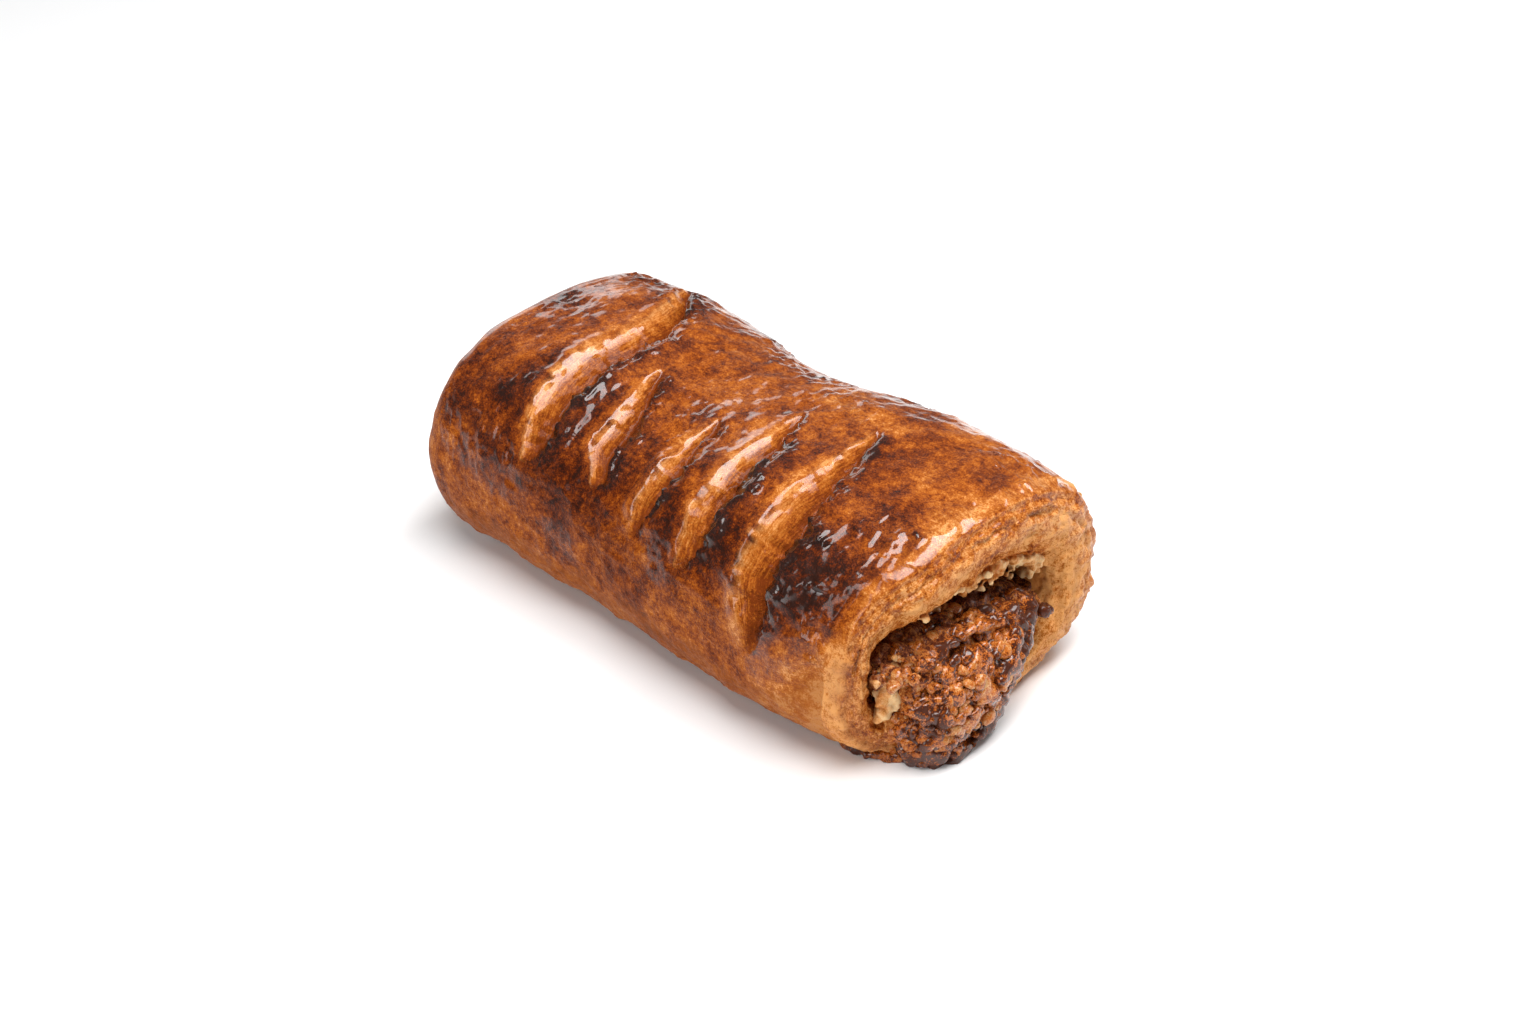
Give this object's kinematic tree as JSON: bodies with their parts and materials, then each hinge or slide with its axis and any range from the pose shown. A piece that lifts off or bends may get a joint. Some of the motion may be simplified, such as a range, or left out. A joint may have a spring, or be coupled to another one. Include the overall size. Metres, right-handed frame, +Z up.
{
  "type": "walnut roll",
  "caption": "Glazed laminated pastry roll with slashed top, open at both cut ends around a walnut filling that spills over one lip.",
  "frame": {"origin": "on the surface the roll rests on, under the middle of its bounding box", "axes": "+X along the roll towards the end where the filling spills out, +Z up from the flat underside, and the slashes run down the -Y side"},
  "size_m": [0.1248, 0.0686, 0.0445],
  "materials": {
    "glazed_crust": "glossy syrup glaze over mottled golden to mahogany baked crust, pale matte layers where cut",
    "walnut_paste": "knobbly caramelised chopped nuts, sticky gloss, scorched at the edges"
  },
  "bodies": {
    "root": {"pastry_roll": "glazed_crust", "walnut_filling": "walnut_paste"}
  },
  "joints": []
}
